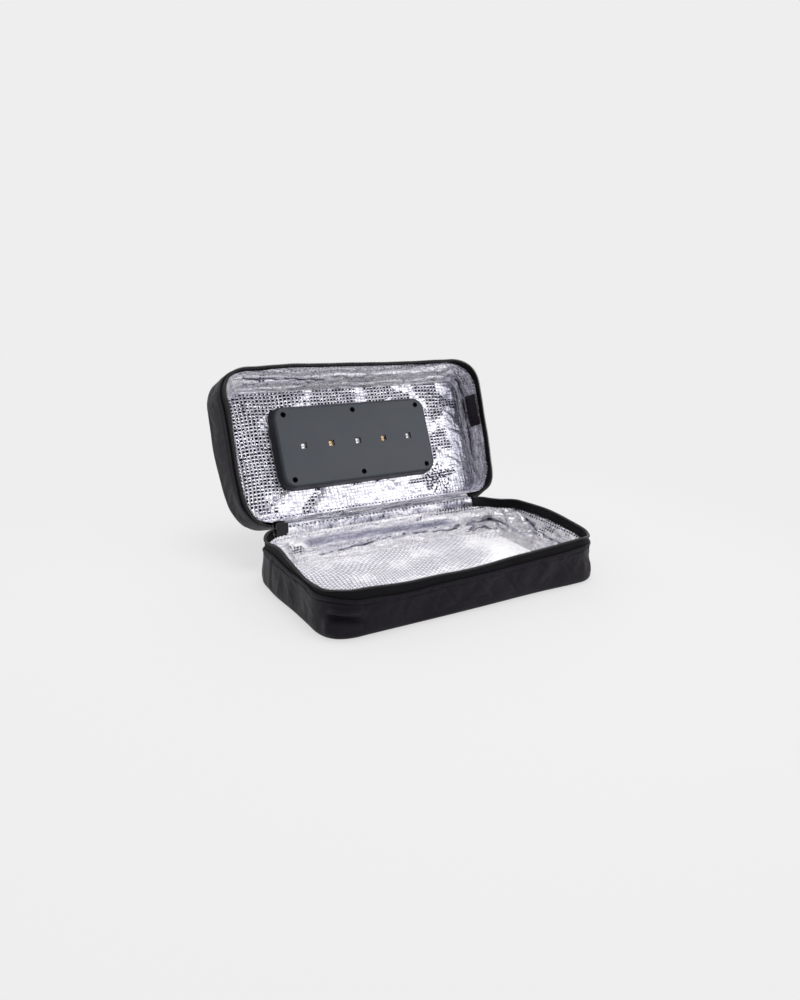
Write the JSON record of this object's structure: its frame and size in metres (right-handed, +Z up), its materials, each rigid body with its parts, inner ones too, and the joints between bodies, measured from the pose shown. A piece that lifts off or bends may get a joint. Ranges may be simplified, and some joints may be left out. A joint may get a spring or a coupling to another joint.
{
  "type": "uv phone sanitizer pouch",
  "caption": "Soft black zip-up pouch with a foil lining and a lid, hinged on fabric, that carries a flat grey ultraviolet lamp module over the space for a phone.",
  "frame": {"origin": "centre of the base's flat underside, on the surface that the open pouch stands on", "axes": "+X along the pouch's length, +Y towards the hinge, +Z up; the lid is at its open rest position"},
  "size_m": [0.22, 0.2006, 0.1346],
  "materials": {
    "outer_fabric": "coated woven polyester, black, slight sheen",
    "hem_fabric": "turned-in ply of the outer fabric with a stitch line",
    "zip_tape": "matte black woven zip tape",
    "zip_coil": "black nylon coil",
    "foil_lining": "metallised film laminated on thin foam, crinkled and bright",
    "foil_panel": "metallised film embossed with a fine grid",
    "foil_mat": "metallised film embossed with rows of dots",
    "hinge_fabric": "black woven hinge strip",
    "wall_foam": "white closed-cell foam",
    "floor_board": "stiff board",
    "magnet": "nickel-plated magnet",
    "lamp_face": "dark slate grey moulded plastic, satin",
    "module_housing": "black moulded plastic",
    "screw_steel": "black-oxide steel",
    "led_board": "white circuit board",
    "driver_board": "green circuit board",
    "uvc_package": "silver-plated ceramic cup",
    "uva_package": "gold-coloured ceramic cup",
    "led_chip": "semiconductor chip",
    "cover_glass": "clear quartz",
    "board_chip": "black moulded component",
    "header": "black pin header",
    "socket_steel": "bright stamped steel",
    "bezel": "black moulded plastic, satin",
    "button": "black moulded plastic, soft gloss",
    "light_pipe": "frosted clear plastic",
    "indicator": "white surface-mount LED",
    "reed_glass": "glass switch tube",
    "lead_sheath": "black two-core lead",
    "slider_metal": "black enamelled die-cast zinc"
  },
  "bodies": {
    "base": {"base_shell": "outer_fabric", "base_hem": "hem_fabric", "base_zip_tape": "zip_tape", "base_zip_coil": "zip_coil", "zip_end_tab": "zip_tape", "base_foam": "wall_foam", "base_floor_board": "floor_board", "base_lining": "foil_lining", "base_floor_mat": "foil_mat", "base_magnet": "magnet", "hinge_strip_base": "hinge_fabric", "hinge_lining_base": "foil_lining"},
    "lid": {"lid_shell": "outer_fabric", "lid_hem": "hem_fabric", "lid_zip_tape": "zip_tape", "lid_zip_coil": "zip_coil", "lid_foam": "wall_foam", "lid_wall_lining": "foil_lining", "lid_panel_lining": "foil_panel", "hinge_strip_lid": "hinge_fabric", "hinge_lining_lid": "foil_lining", "sensor_pocket": "hinge_fabric", "lid_sensor": "reed_glass", "sensor_lead": "lead_sheath", "lamp_faceplate": "lamp_face", "lamp_housing": "module_housing", "faceplate_screws": "screw_steel", "led_board": "led_board", "led_board_screws": "screw_steel", "uvc_led_packages": "uvc_package", "uva_led_packages": "uva_package", "led_chips": "led_chip", "led_cover_glasses": "cover_glass", "driver_board": "driver_board", "driver_board_screws": "screw_steel", "driver_chips": "board_chip", "board_connector": "header", "control_bezel": "bezel", "bezel_screws": "screw_steel", "push_switch": "board_chip", "usb_socket": "socket_steel", "indicator_led": "indicator", "light_pipe": "light_pipe"},
    "power_button": {"power_button": "button"},
    "zip_slider": {"zip_slider": "slider_metal"},
    "zip_pull": {"zip_pull": "slider_metal"}
  },
  "joints": [
    {"name": "lid_hinge", "type": "hinge", "parent": "base", "child": "lid", "pos_m": [0, 0.05996, 0.03042], "axis": [1, 0, 0], "range_deg": [-24.55, 115.45]},
    {"name": "power_button_press", "type": "slide", "parent": "lid", "child": "power_button", "axis": [0, -0.903, 0.4297], "range_m": [0, 0.0005], "stiffness_N_per_m": 1500, "springref_m": -0.0004},
    {"name": "zip_slider_run", "type": "hinge", "parent": "base", "child": "zip_slider", "pos_m": [-0.088, 0.0355, 0.0323], "axis": [0, 0, 1], "range_deg": [0, 80]},
    {"name": "zip_pull_swing", "type": "hinge", "parent": "zip_slider", "child": "zip_pull", "pos_m": [-0.08969, 0.05984, 0.0323], "axis": [0.9976, 0.0691, 0], "range_deg": [0, 35]}
  ]
}
